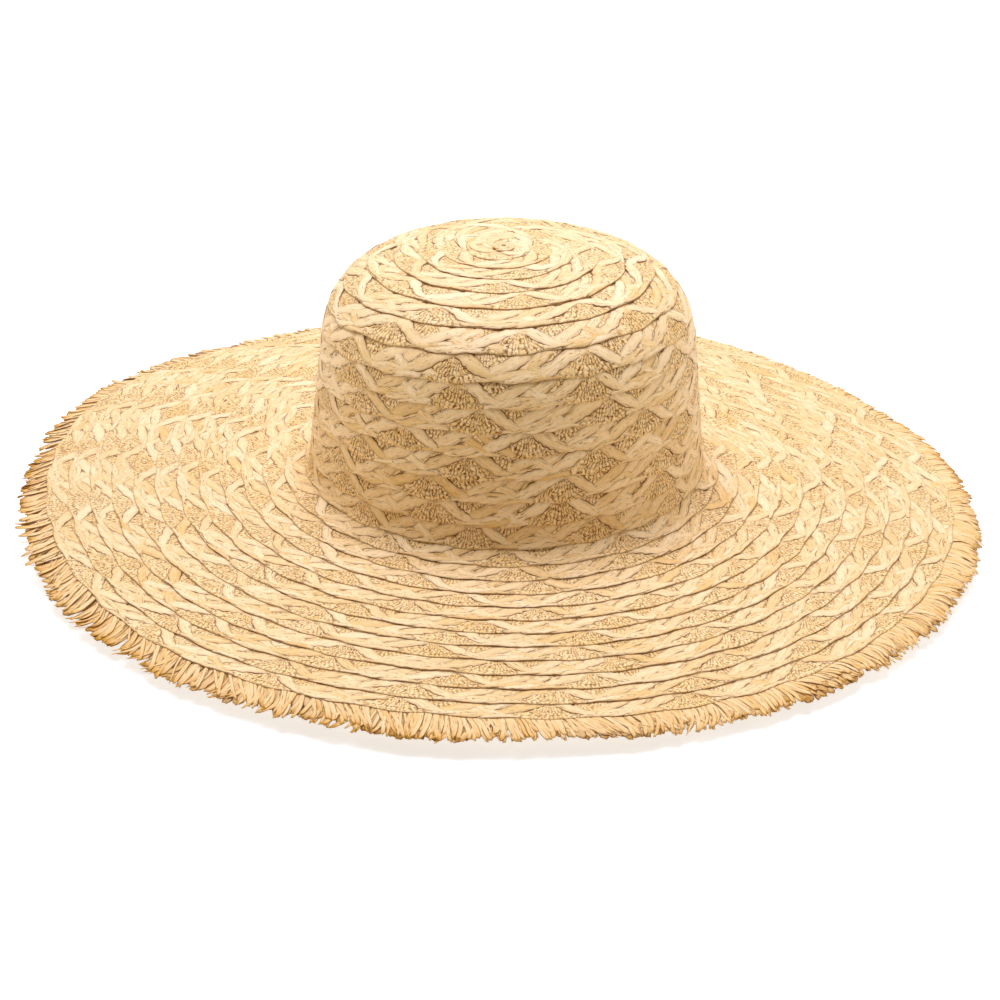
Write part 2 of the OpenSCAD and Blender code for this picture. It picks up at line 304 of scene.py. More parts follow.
def place(i, x, d, z, mid_x, faces_fn, mat, tint, fib):
    """Maps elements (repeats by rows by columns) on the plait and shares them out to the courses."""
    t = np.clip(t_of(i.reshape((-1,) + (1,) * (x.ndim - 1)), x), LO_T, HI_T)
    dd = np.clip(d * K, 0.02, PLAIT_W - 0.05)
    near = np.exp(-dd / 3.0)
    z = z * np.interp(t, [13.5, 16.0], [1.0, 0.74])
    ln = np.interp(t, tt, arc)
    xr = (i.reshape((-1,) + (1,) * (x.ndim - 1)) - np.interp(t, MARKS, IDX)) * T
    sway = 0.3 * noise2(ln / 8.5, ln * 0 + 0.5, 301) + 0.2 * noise2(ln / 2.9, ln * 0 + 0.5, 302) + 0.55 * np.cos((xr + 1.0) * 4 * np.pi / T)
    lift = 0.16 * noise2(ln / 10.0, ln * 0 + 0.5, 303)
    # Painted shade: a thin dark line along each course's lower edge and where it runs under the lap of the next turn
    # (tint G). It is broken up along its length, varied from course to course, strongest at the front of the hat and
    # weaker round the sides and back.
    broken = 0.22 + 0.5 * ss(0.5 + 0.9 * noise2(ln / 5.0, ln * 0 + 0.5, 304))
    broken = broken * np.interp(t, [0, 3, 5, 9, 14, 15.5], [0.3, 0.5, 0.8, 0.6, 0.6, 1.15])
    broken = broken * (0.3 + 0.7 * ss((0.25 + np.cos(2 * np.pi * t) - 0.25 * np.maximum(np.sin(2 * np.pi * t), 0)) / 0.8))
    lap = edge(t + 0.5) - edge(t - 0.5)  # where the next turn in lies over this one
    dark = np.maximum(np.exp(-(dd / 0.5) ** 2), ss((dd - lap + 0.9) / 0.8) * (dd < lap + 2.5))
    tint = tint.copy()
    tint[..., 1] = np.maximum(tint[..., 1], broken * dark)
    face = ss((np.cos(2 * np.pi * t) - 0.45) / 0.4)  # the front of the crown, in shade; the gaps there get a stronger painted shade
    side = np.interp(t, [6, 8, 12.8, 14.5], [0, 1, 1, 0])
    # Painted shade and light as the light falls: tint B scales the darkening at edges and in gaps, weaker on the tip
    # and brim and strongest on the front of the crown's side. Tint R draws the crown's side lighter at its left and
    # right and darker at its front, and the tip lighter.
    tint[..., 2] = np.interp(t, [0, 4, 6, 14, 16.5], [0.72, 0.88, 1.0, 0.95, 0.88]) * (1 + 0.24 * face * side)
    tint[..., 0] += side * (0.08 - 0.17 * face) + np.interp(t, [0, 3, 6], [0.08, 0.08, 0])
    p = on_plait(t, dd - sway * near, lie(dd, z) + lift * near)
    c = courses_of(i, mid_x)
    tm = t_of(i, mid_x)
    for n in range(0, LAST + 1):
        sel = np.where((c == n) & (tm > LO_T - 0.002) & (tm < HI_T + 0.002))[0]
        if len(sel):
            bufs[n].add(p[sel], faces_fn(len(sel)), mat, tint[sel], fib[sel])


SMOOTH, CRINKLED = 0, 1


def ribbon(ctrl, width, rows, mat=SMOOTH, crown=0.34, thick=0.45, jit=0.4, zj=0.05, shade=0.0, under=False, wob=0.08):
    """One flat straw in every repeat. ctrl: (x, d, z) points; width at each point."""
    ctrl = np.array(ctrl, float)
    width = np.array(width, float)
    if len(width) != len(ctrl):
        width = np.interp(np.linspace(0, 1, len(ctrl)), np.linspace(0, 1, len(width)), width)
    i = IDX
    r = len(i)
    c = np.repeat(ctrl[None], r, 0)
    c[:, :, 0] += RNG.normal(0, jit, (r, 1)) + RNG.normal(0, jit * 0.35, (r, len(ctrl)))
    c[:, :, 1] += RNG.normal(0, jit * 0.55, (r, 1)) + RNG.normal(0, jit * 0.3, (r, len(ctrl)))
    c[:, :, 2] += RNG.normal(0, zj, (r, 1))
    w = width[None] * RNG.normal(1, 0.07, (r, 1)) * RNG.normal(1, 0.05, (r, len(ctrl)))
    b = catmull(len(ctrl), rows)
    pos = np.einsum("sp,rpk->rsk", b, c)
    wid = np.maximum(np.einsum("sp,rp->rs", b, w) * RNG.normal(1, wob, (r, rows)), 0.3)
    pos[:, :, 1] += RNG.normal(0, wob * 0.9, (r, rows))
    tan = np.gradient(pos[:, :, :2], axis=1)
    tan /= np.linalg.norm(tan, axis=2, keepdims=True) + 1e-9
    nrm = np.stack([-tan[..., 1], tan[..., 0]], -1)
    if under:
        vv = np.array([-1.0, 0.0, 1.0, 0.0])
        zz = np.array([0.0, 0.08, 0.0, -thick])
    else:
        vv = np.array([-1.0, -0.92, -0.79, -0.3, 0.3, 0.79, 0.92, 1.0, 0.6, -0.6])
        zz = np.array([0.0, 0.26, 0.6, 1.0, 1.0, 0.6, 0.26, 0.0, 0.0, 0.0]) * crown
        zz[8:] = -thick
        zz[0] = zz[7] = -0.12
    roll = RNG.normal(0, 0.06, (r, 1, 1))
    fold = RNG.normal(0, 0.05 if under else 0.09, (r, rows, 1))
    x = pos[:, :, None, 0] + nrm[:, :, None, 0] * vv * wid[..., None] / 2
    d = pos[:, :, None, 1] + nrm[:, :, None, 1] * vv * wid[..., None] / 2
    z = pos[:, :, None, 2] + zz + roll * vv + fold * np.where(np.abs(vv) < 0.5, 1, 0.3)
    if not under:
        z = z * RELIEF
    n_c = len(vv)
    tint = np.ones((r, rows, n_c, 4))
    tint[..., 0] = np.clip(RNG.normal(0.5 + shade, 0.2, (r, 1, 1)), 0, 1)
    # Darkened edges (tint G): partly the straw's own brown edge, partly painted shade where it meets the straws beside
    # it.
    tint[..., 1] = np.interp(np.abs(vv), [0, 0.3, 0.6, 0.79, 0.92, 1], [0, 0, 0.03, 0.42, 1, 1])
    along = np.concatenate([np.zeros((r, 1)), np.cumsum(np.linalg.norm(np.diff(pos[:, :, :2], axis=1), axis=2), 1)], 1)
    fib = np.zeros((r, rows, n_c, 3))
    fib[..., 0] = along[..., None]
    fib[..., 1] = vv * wid[..., None] / 2
    fib[..., 2] = RNG.uniform(0, 500, (r, 1, 1))
    tint[..., 2] = (np.linspace(0, 1, rows))[None, :, None]
    if under:
        tint[..., 1] *= 0.6
    else:
        side = np.sign(vv)[None, None, :]
        tint[..., 1] *= 0.86 + 0.4 * noise2(along[..., None] / 3.0 + (i * 13.0)[:, None, None], side * 3.0 + np.zeros((r, rows, 1)), 401)
        # Painted shade: both ends darkened where the straw turns under the lower edge or the lap.
        a0 = np.abs(along / along[:, -1:] - 0.5)[..., None] * 2
        tint[..., 1] = np.maximum(tint[..., 1], 0.8 * ss((a0 - 0.93) / 0.07))
    place(i, x, d, z, ctrl[len(ctrl) // 2, 0], lambda q: loft_faces(q, rows, n_c), mat, tint, fib)


def crinkle(x0, x1, nj, nk, d_low, d_top, centre, z_low, bulge, depth, seed, turn=0.0, lam=1.2):
    """The wide crinkled ribbon where it shows, in every repeat: radial folds about a centre, broken up and uneven."""
    i = IDX
    r = len(i)
    jx = np.linspace(x0, x1, nj)
    kk = np.linspace(0, 1, nk)
    lo, hi = d_low(jx), d_top(jx)
    x = np.repeat(jx[:, None], nk, 1)
    d = lo[:, None] + (hi - lo)[:, None] * kk[None]
    x = np.repeat(x[None], r, 0) + RNG.normal(0, 0.45, (r, 1, 1))
    d = np.repeat(d[None], r, 0)
    off = (i * 37.0)[:, None, None]
    wx = x + 0.8 * noise2(x * 0.34 + off, d * 0.4 + 3, seed) + 0.22 * noise2(x * 1.3 + off, d * 1.2, seed + 1)
    wd = d + 0.7 * noise2(x * 0.4 + off + 50, d * 0.4, seed + 2)
    cx, cd = centre
    ang = np.arctan2(wx - cx, cd - wd) + turn
    rad = np.hypot(wx - cx, cd - wd)
    u1 = ang * 8.5 / lam + 0.3 * noise2(rad * 0.5 + off, ang * 2, seed + 3)
    v1 = rad / 1.9 + 0.3 * noise2(ang * 5 + off, rad * 0.2, seed + 5)
    folds = np.stack([u1, v1, np.broadcast_to(off % 97.0, u1.shape)], -1)
    row = np.floor(v1)
    u1 = u1 + 0.5 * (row % 2) + 0.35 * np.sin(row * 2.4 + off % 97.0)
    fx, fy = u1 - np.floor(u1), v1 - row
    h = np.clip(1 - np.abs(2 * fx - 1) ** 2.2, 0, 1) ** 0.75 * np.clip(1 - np.abs(2 * fy - 1) ** 5, 0, 1) ** 0.6
    cell = noise2(np.floor(u1) * 1.0 + off, row * 1.0, seed + 8)
    h = h * (0.86 + 0.14 * cell)
    fuse = np.clip(-0.05 + 0.95 * noise2(x * 0.7 + off, d * 0.8 + 20, seed + 4), 0, 0.7)
    h = h + (1 - h) * fuse
    hem = np.exp(-((d - lo[None, :, None]) / 1.0) ** 2)
    bumps = np.abs(np.sin(x * np.pi / 1.7 + 1.5 * noise2(x * 0.4 + off, d * 0, seed + 6))) ** 0.6
    h = h * (1 - hem) + hem * (0.35 + 0.65 * bumps)
    ex = (x - x.mean(1, keepdims=True)) / ((x1 - x0) / 2)
    dome = np.clip(1 - np.abs(ex) ** 2.6, 0, 1) * np.sin(np.clip(kk, 0.03, 1) * np.pi * 0.5)[None, None] ** 0.6
    z = z_low + bulge * dome - depth * (1 - h) * np.clip(dome * 1.4, 0.35, 1)
    t = np.ones((r, nj, nk, 4))
    t[..., 0] = np.clip(0.5 + 0.35 * cell + RNG.normal(0, 0.12, (r, 1, 1)), 0, 1)
    # Painted shade: the folds darkened by their depth (tint G) towards the material's valley colour.
    t[..., 1] = np.clip(2.0 * (1 - h) - 0.5, 0, 1)
    t[..., 2] = kk[None, None]
    f = folds
    ks = np.linspace(0, 1, NB)
    xs = np.repeat(x[:, None, :, 0], NB, 1)
    ds = d[:, None, :, 0] * (1 - ks[None, :, None]) + d[:, None, :, -1] * ks[None, :, None]
    zs = np.full(xs.shape, z_low - depth - 0.02)
    xs, ds, zs = (q.reshape(r, -1) for q in (xs, ds, zs))
    x = np.concatenate([x.reshape(r, -1), xs], 1)
    d = np.concatenate([d.reshape(r, -1), ds], 1)
    z = np.concatenate([z.reshape(r, -1), zs], 1)
    # The rows underneath keep tint G at 1: painted shade under the patch.
    ts = np.ones(xs.shape + (4,))
    ts[..., 0] = 0.4
    t = np.concatenate([t.reshape(r, -1, 4), ts], 1)
    f = np.concatenate([f.reshape(r, -1, 3), np.stack([xs, ds, zs * 0], -1)], 1)
    place(i, x, d, z, (x0 + x1) / 2, lambda q: slab_faces(q, nj, nk), CRINKLED, t, f)


# ---- the back of the plait: fine straws crossing one over one, seen from inside and below
for k in range(7):
    x = k * T / 7
    up, dn = (0.12, -0.1) if k % 2 else (-0.1, 0.12)
    ribbon([(x - 15, -0.6, -0.34), (x - 10, 2.2, -0.34 + up), (x - 5, 4.9, -0.34 + dn), (x, 7.2, -0.34 + up), (x + 5, 9.5, -0.34 + dn),
            (x + 10, 12.2, -0.34 + up), (x + 14, 14.2, -0.34)], [4.2, 4.6, 4.4], 13, thick=0.16, jit=0.25, zj=0.02, under=True)
    ribbon([(x - 14, 14.2, -0.34), (x - 10, 12.2, -0.34 + dn), (x - 5, 9.5, -0.34 + up), (x, 7.2, -0.34 + dn), (x + 5, 4.9, -0.34 + up),
            (x + 10, 2.2, -0.34 + dn), (x + 15, -0.6, -0.34)], [4.4, 4.6, 4.2], 13, thick=0.16, jit=0.25, zj=0.02, under=True)

# ---- the crinkled ribbon's small upper corners
crinkle(9.0, 27.0, 38, 16, lambda x: np.full_like(x, 3.8), lambda x: np.full_like(x, 13.9), (17.5, 22.0), 0.2, 0.3, 0.4, 31, lam=1.08)
crinkle(-25.0, -11.0, 30, 15, lambda x: np.full_like(x, 4.4), lambda x: np.full_like(x, 13.9), (-18.0, 22.0), 0.2, 0.3, 0.4, 57, lam=1.08)

# ---- a narrow straw along the lower edge, under the rest
ribbon([(-1, 0.9, -0.3), (14, 1.1, -0.25), (29, 1.2, -0.25), (44, 1.1, -0.25), (60, 0.9, -0.3)], [2.3, 2.5, 2.3], 18, thick=0.4, crown=0.3, jit=0.2)

# ---- straws between the patches
ribbon([(33, 15, -0.3), (36.5, 11.4, 0.0), (41, 7.6, 0.05), (46.5, 4.0, 0.0), (53, 1.6, -0.2)], [4.8, 5.6, 5.4, 4.8, 3.6], 15, shade=-0.05)
ribbon([(21.5, 14.5, -0.2), (26, 11.0, 0.05), (30.3, 7.9, 0.12), (35, 4.9, 0.34), (40, 2.6, 0.15), (45.5, 1.0, -0.1)], [4.6, 5.6, 5.6, 5.2, 4.2, 3.0], 17)
ribbon([(22.5, 1.4, -0.2), (29, 4.3, 0.1), (34, 7.1, 0.14), (38.5, 9.7, 0.44), (42.5, 12.4, 0.15), (45.5, 15, -0.3)], [3.8, 5.4, 5.8, 5.8, 5.0, 3.8], 17, shade=0.05)
ribbon([(9.5, 1.0, -0.2), (15.5, 3.3, 0.12), (21.5, 6.0, 0.28), (27.5, 8.7, 0.46), (33, 11.4, 0.2), (37, 14.6, -0.2)], [3.2, 4.8, 5.6, 5.8, 5.2, 3.8], 18, shade=0.03)
ribbon([(20, 3.4, 0.2), (26, 4.2, 0.36), (32, 4.0, 0.4), (38.5, 2.7, 0.34), (44, 1.6, 0.1)], [1.2, 2.6, 3.0, 2.6, 1.4], 13, shade=-0.02, crown=0.2)

# ---- the crinkled ribbon's big turn at the lower edge
crinkle(-17.5, 13.5, 70, 26, lambda x: np.full_like(x, 0.05),
        lambda x: 1.6 + 11.6 * np.clip(1 - (np.abs(x + 0.6) / 17.0) ** 1.9, 0.0, 1), (0.4, 15.5), 0.12, 0.5, 0.55, 11, lam=1.08)

# ---- the smooth band along the lower edge, and the two blades beside each patch
ribbon([(-25, 1.8, -0.1), (-21.5, 3.2, 0.2), (-17.4, 4.9, 0.42), (-13.0, 7.0, 0.54), (-8.6, 9.0, 0.56), (-4.2, 10.7, 0.45), (0.2, 11.8, 0.25), (3.8, 13.0, 0.0)],
       [1.2, 3.8, 5.6, 6.3, 6.2, 5.2, 3.6, 2.2], 22, crown=0.34, thick=0.8, shade=0.05, jit=0.7, wob=0.10)
ribbon([(10.0, 0.8, 0.1), (13.5, 1.2, 0.24), (18, 2.0, 0.34), (23, 2.9, 0.3), (27.5, 3.6, 0.05)], [1.4, 2.6, 3.6, 3.4, 1.6], 13, shade=0.0, wob=0.12)
ribbon([(18.5, 0.7, 0.0), (23, 1.1, 0.28), (28, 1.9, 0.4), (33, 2.9, 0.34), (37.5, 3.9, 0.1)], [1.2, 2.8, 3.8, 3.6, 1.6], 13, shade=0.04, wob=0.12)
ribbon([(27.5, 0.6, 0.0), (32, 1.0, 0.26), (37, 1.3, 0.36), (41.5, 1.2, 0.26), (46, 0.7, 0.0)], [1.0, 2.6, 3.4, 2.8, 1.2], 13, shade=-0.03, wob=0.12)
ribbon([(-2.2, 13.0, 0.0), (1.2, 11.9, 0.35), (4.8, 10.2, 0.56), (8.2, 7.8, 0.6), (11.2, 5.4, 0.56), (14.4, 3.5, 0.46), (17.8, 2.4, 0.3), (21.5, 2.0, 0.1)],
       [2.6, 4.4, 5.8, 6.0, 5.6, 4.6, 3.0, 1.0], 22, crown=0.34, thick=0.8, shade=0.05, jit=0.7, wob=0.10)


# ---------------------------------------------------------------- materials
def rgb(r, g, b):
    return (r, g, b, 1.0)


class Mat:
    def __init__(self, name):
        self.m = bpy.data.materials.new(name)
        self.m.use_nodes = True
        self.nt = self.m.node_tree
        self.nt.nodes.clear()
        self.out = self.nt.nodes.new("ShaderNodeOutputMaterial")
        self.p = self.nt.nodes.new("ShaderNodeBsdfPrincipled")
        self.nt.links.new(self.p.outputs[0], self.out.inputs[0])

    def node(self, kind, **kw):
        n = self.nt.nodes.new(kind)
        for k, v in kw.items():
            if k.startswith("in_"):
                n.inputs[k[3:].replace("_", " ")].default_value = v
            else:
                setattr(n, k, v)
        return n

    def link(self, a, b):
        self.nt.links.new(a, b)

    def math(self, op, a, b=None, clamp=False):
        n = self.nt.nodes.new("ShaderNodeMath")
        n.operation = op
        n.use_clamp = clamp
        for k, v in enumerate((a, b)):
            if v is None:
                continue
            if isinstance(v, (int, float)):
                n.inputs[k].default_value = v
            else:
                self.link(v, n.inputs[k])
        return n.outputs[0]

    def mix(self, fac, a, b, mode="MIX"):
        n = self.nt.nodes.new("ShaderNodeMix")
        n.data_type = "RGBA"
        n.blend_type = mode
        for s, v in ((n.inputs[0], fac), (n.inputs[6], a), (n.inputs[7], b)):
            if isinstance(v, (int, float, tuple)):
                s.default_value = v
            else:
                self.link(v, s)
        return n.outputs[2]

    def noise(self, vec, scale, detail=3.0, rough=0.55):
        n = self.node("ShaderNodeTexNoise")
        n.inputs["Scale"].default_value = scale
        n.inputs["Detail"].default_value = detail
        n.inputs["Roughness"].default_value = rough
        self.link(vec, n.inputs["Vector"])
        return n.outputs["Fac"]


def straw_mat(name, light, dark, edge_c, valley=None, edge_amt=0.55, streak_amt=0.5, bump=0.35, rough=0.52, crack=0.0):
    """Paper straw: long fibres along each straw, a tone of its own for each straw, darker at its edges (partly its own
    brown edge, partly painted shade) and painted shade in its folds, gaps and splits.
    """
    q = Mat(name)
    fib = q.node("ShaderNodeAttribute", attribute_name="fibre")
    tint = q.node("ShaderNodeAttribute", attribute_name="tint")
    sep = q.node("ShaderNodeSeparateXYZ")
    q.link(fib.outputs["Vector"], sep.inputs[0])
    ts = q.node("ShaderNodeSeparateColor")
    q.link(tint.outputs["Color"], ts.inputs[0])
    comb = q.node("ShaderNodeCombineXYZ")
    q.link(q.math("MULTIPLY", sep.outputs[0], 0.16 if valley is None else 3.0), comb.inputs[0])
    q.link(q.math("MULTIPLY", sep.outputs[1], 3.2 if valley is None else 0.7), comb.inputs[1])
    q.link(sep.outputs[2], comb.inputs[2])
    fine = q.noise(comb.outputs[0], 1.0, 4.0, 0.6)
    wide = q.node("ShaderNodeCombineXYZ")
    q.link(q.math("MULTIPLY", sep.outputs[0], 0.13 if valley is None else 1.2), wide.inputs[0])
    q.link(q.math("MULTIPLY", sep.outputs[1], 1.35 if valley is None else 0.5), wide.inputs[1])
    q.link(q.math("ADD", sep.outputs[2], 7.0), wide.inputs[2])
    streak = q.math("ADD", q.math("MULTIPLY", fine, 0.45), q.math("MULTIPLY", q.noise(wide.outputs[0], 1.0, 3.0, 0.55), 0.55))
    comb2 = q.node("ShaderNodeCombineXYZ")
    q.link(q.math("MULTIPLY", sep.outputs[0], 0.5), comb2.inputs[0])
    q.link(q.math("MULTIPLY", sep.outputs[1], 0.9), comb2.inputs[1])
    q.link(sep.outputs[2], comb2.inputs[2])
    blotch = q.noise(comb2.outputs[0], 1.0, 3.0, 0.5)
    fac = q.math("ADD", q.math("MULTIPLY", q.math("SUBTRACT", streak, 0.5), streak_amt * 2), 0.35)
    fac = q.math("ADD", fac, q.math("MULTIPLY", q.math("SUBTRACT", blotch, 0.5), 0.7))
    # tint R: each straw's own tone, with painted light and shade added on the crown in place().
    fac = q.math("ADD", fac, q.math("MULTIPLY", q.math("SUBTRACT", 0.5, ts.outputs[0]), 0.8), clamp=True)
    col = q.mix(fac, light, dark)
    if valley is None:
        # Edge darkening (tint G, scaled by tint B): partly the straw's own brown edge, partly painted shade at edges,
        # laps and gaps.
        e = q.math("MULTIPLY", q.math("MULTIPLY", q.math("POWER", ts.outputs[1], 1.5), edge_amt), ts.outputs[2], clamp=True)
        col = q.mix(e, col, edge_c)
    else:
        frame = q.node("ShaderNodeCombineXYZ")
        q.link(q.math("MULTIPLY", sep.outputs[0], 1.1), frame.inputs[0])
        q.link(q.math("MULTIPLY", sep.outputs[1], 2.0), frame.inputs[1])
        q.link(sep.outputs[2], frame.inputs[2])
        jig = q.noise(frame.outputs[0], 1.0, 2.0, 0.5)
        row = q.math("FLOOR", sep.outputs[1])
        shift = q.math("MULTIPLY", q.math("SINE", q.math("ADD", q.math("MULTIPLY", row, 2.4), sep.outputs[2])), 0.35)
        half = q.math("MULTIPLY", q.math("FLOORED_MODULO", row, 2.0), 0.5)
        u = q.math("ADD", q.math("ADD", q.math("ADD", sep.outputs[0], shift), half), q.math("MULTIPLY", q.math("SUBTRACT", jig, 0.5), 2.0))
        v = q.math("ADD", sep.outputs[1], q.math("MULTIPLY", q.math("SUBTRACT", jig, 0.5), 1.7))
        fu = q.math("ABSOLUTE", q.math("SUBTRACT", q.math("MULTIPLY", q.math("FRACT", u), 2.0), 1.0))
        fv = q.math("ABSOLUTE", q.math("SUBTRACT", q.math("MULTIPLY", q.math("FRACT", v), 2.0), 1.0))
        # Painted shade: dark gaps between the rows of folds, opened and closed by the blotch noise, added to the folds'
        # depth (tint G) and mixed towards the valley colour.
        gu = q.math("MULTIPLY", q.math("SUBTRACT", fu, 0.56), 3.0, clamp=True)
        gv = q.math("MULTIPLY", q.math("SUBTRACT", fv, 0.76), 4.0, clamp=True)
        gap = q.math("MAXIMUM", gu, gv)
        open_ = q.math("ADD", q.math("MULTIPLY", q.math("SUBTRACT", blotch, 0.36), 3.0), 0.35, clamp=True)
        gap = q.math("MULTIPLY", q.math("MULTIPLY", gap, gap), open_)
        e = q.math("MULTIPLY", q.math("ADD", q.math("MULTIPLY", ts.outputs[1], 0.5), q.math("MULTIPLY", gap, 0.85)), ts.outputs[2], clamp=True)
        col = q.mix(e, col, valley)
    # Fine splits along the straw, drawn as dark grooves in edge_c: their darkness is painted shade.
    comb3 = q.node("ShaderNodeCombineXYZ")
    q.link(q.math("MULTIPLY", sep.outputs[0], 0.22), comb3.inputs[0])
    q.link(q.math("MULTIPLY", sep.outputs[1], 2.0), comb3.inputs[1])
    q.link(q.math("ADD", sep.outputs[2], 31.0), comb3.inputs[2])
    slit = q.noise(comb3.outputs[0], 1.0, 2.0, 0.6)
    slit = q.math("MULTIPLY", q.math("SUBTRACT", slit, 0.61), 10.0, clamp=True)
    slit = q.math("MULTIPLY", slit, crack)
    col = q.mix(slit, col, edge_c)
    q.link(col, q.p.inputs["Base Color"])
    q.link(q.math("ADD", q.math("MULTIPLY", streak, 0.22), rough - 0.1), q.p.inputs["Roughness"])
    q.p.inputs["Specular IOR Level"].default_value = 0.14
    bp = q.node("ShaderNodeBump")
    bp.inputs["Strength"].default_value = bump
    bp.inputs["Distance"].default_value = 0.00035
    q.link(q.math("SUBTRACT", q.math("ADD", streak, q.math("MULTIPLY", blotch, 0.8)), q.math("MULTIPLY", slit, 1.2)), bp.inputs["Height"])
    q.link(bp.outputs[0], q.p.inputs["Normal"])
    return q.m


M_SMOOTH = straw_mat("straw_smooth", rgb(0.915, 0.69, 0.395), rgb(0.745, 0.445, 0.13), rgb(0.19, 0.062, 0.003), edge_amt=1.0, streak_amt=1.15, crack=0.85)
# valley: the colour of the painted shade in the crinkled folds.
M_CRINK = straw_mat("straw_crinkled", rgb(0.95, 0.69, 0.355), rgb(0.85, 0.535, 0.175), rgb(0.3, 0.12, 0.01), valley=rgb(0.19, 0.06, 0.002), bump=0.2, rough=0.6)
M_FRINGE = straw_mat("straw_frayed", rgb(0.92, 0.65, 0.335), rgb(0.76, 0.40, 0.075), rgb(0.34, 0.13, 0.006), edge_amt=1.0, streak_amt=0.9, crack=0.75)
M_THREAD = straw_mat("sewing_thread_cotton", rgb(0.80, 0.62, 0.38), rgb(0.62, 0.44, 0.23), rgb(0.45, 0.28, 0.12), edge_amt=0.3, bump=0.3, rough=0.7)

# ---------------------------------------------------------------- plait pieces
NAMES = {0: "crown_button"}
COURSE = {}
for n in range(0, 5):
    COURSE[n] = "crown_tip_course_%d" % (n + 1)
for n in range(5, 9):
    COURSE[n] = "crown_shoulder_course_%d" % (n - 4)
for n in range(9, 15):
    COURSE[n] = "crown_side_course_%d" % (n - 8)
for n in range(15, 27):
    COURSE[n] = "brim_course_%02d" % (n - 14)
for n, name in COURSE.items():
    o = bufs[n].make("plait_" + name, [M_SMOOTH, M_CRINK])
    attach(o, "root")
    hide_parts(name)


# ---------------------------------------------------------------- rings: tapes, bands and threads
def tube(path, radius, sides, buf, mat, shade=0.5, along0=0.0, squash=1.0, up=None):
    """A round thread along path (n by 3, metres), tapered to nothing at its ends by radius (n)."""
    n = len(path)
    tan = np.gradient(path, axis=0)
    tan /= np.linalg.norm(tan, axis=1, keepdims=True) + 1e-12
    ref = np.array([0.0, 0, 1]) if up is None else up
    a = np.cross(tan, ref)
    a /= np.linalg.norm(a, axis=1, keepdims=True) + 1e-12
    b = np.cross(a, tan)
    ph = np.arange(sides) / sides * 2 * np.pi
    v = path[:, None] + (a[:, None] * np.cos(ph)[None, :, None] + b[:, None] * np.sin(ph)[None, :, None] * squash) * np.asarray(radius)[:, None, None]
    tint = np.ones((n, sides, 4))
    tint[..., 0] = shade
    tint[..., 1] = 0.2
    fib = np.zeros((n, sides, 3))
    fib[..., 0] = (along0 + np.arange(n) * 0.7)[:, None]
    fib[..., 1] = np.cos(ph)
    fib[..., 2] = along0
    buf.add(v, loft_faces(1, n, sides), mat, tint, fib)


# seam stitches: short runs of thread laid in the band 2.4 mm back from each lower edge
def seam(name, t0, t1):
    b = Buf()
    la, lb = np.interp([t0, t1], tt, arc)
    n = int((lb - la) / 3.25)
    pos = la + (np.arange(n) + 0.5) * (lb - la) / n + RNG.normal(0, 0.18, n)
    ln = RNG.normal(1.7, 0.18, n)
    rows, sides = 5, 5
    s = np.linspace(-0.5, 0.5, rows)
    t = np.interp(pos[:, None] + s[None] * ln[:, None], arc, tt)
    t = np.clip(t, t0 + 1e-4, t1 - 1e-4)
    rad = np.array([0.08, 0.16, 0.18, 0.16, 0.08])
    dip = np.array([-0.32, 0.02, 0.1, 0.02, -0.32])
    ph = np.arange(sides) / sides * 2 * np.pi
    dd = 2.4 + RNG.normal(0, 0.22, n)[:, None] + s[None] * RNG.normal(0, 0.25, n)[:, None]
    d = dd[..., None] + (rad[None, :, None] * np.cos(ph))
    z = 0.36 + dip[None, :, None] + rad[None, :, None] * np.sin(ph) + np.zeros_like(d)
    p = on_plait(np.repeat(t[..., None], sides, 2), d, lie(d, z))
    tint = np.ones(p.shape[:3] + (4,))
    tint[..., 0] = RNG.uniform(0.2, 0.8, n)[:, None, None]
    # Painted shade: each stitch darkened at both ends, where the thread goes down into its needle hole.
    tint[..., 1] = (np.array([1, 0.2, 0, 0.2, 1]))[None, :, None]
    fib = np.zeros(p.shape[:3] + (3,))
    fib[..., 0] = pos[:, None, None] + s[None, :, None] * 2
    fib[..., 1] = np.cos(ph)
    b.add(p, loft_faces(n, rows, sides), 0, tint, fib)
    o = b.make("stitches_" + name, [M_THREAD])
    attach(o, "root")
    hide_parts(name)
    return o


seam("crown_seam_stitching", 0.0, 14.5)
seam("brim_seam_stitching", 14.5, 26.45)


# crown button: the straws' first tight coil
def button():
    b = Buf()
    zc = on_plait(np.array([0.0]), np.array([FIRST_EDGE - 1.0]), np.array([0.0]))[0]
    c = at(np.array([0.01]), np.array([0.0]), np.array([1.18]))[0]
    for k, (ph0, sh) in enumerate(((0.0, 0.45), (math.pi * 2 / 3, 0.65), (math.pi * 4 / 3, 0.35))):
        a = np.linspace(0.4, 2 * math.pi * 2.35, 120)
        rr = 0.9 + 4.4 * a / a[-1]
        tw = a * 3.1 + ph0
        x = (rr + 0.3 * np.cos(tw)) * np.cos(-a)
        y = (rr + 0.3 * np.cos(tw)) * np.sin(-a)
        z = 0.14 * np.sin(tw) + 0.02 - 0.1 * (rr / 5.4) ** 2
        rad = 0.95 * np.minimum(1, np.minimum(np.arange(120), np.arange(120)[::-1]) / 7 + 0.25)
        p = c + np.stack([x, y, z], 1) * 0.001
        tube(p, rad * 0.001, 8, b, 0, shade=sh, along0=k * 50.0, squash=0.42)
    o = b.make("coil_crown_button", [M_SMOOTH])
    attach(o, "root")
    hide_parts("crown_button")


button()


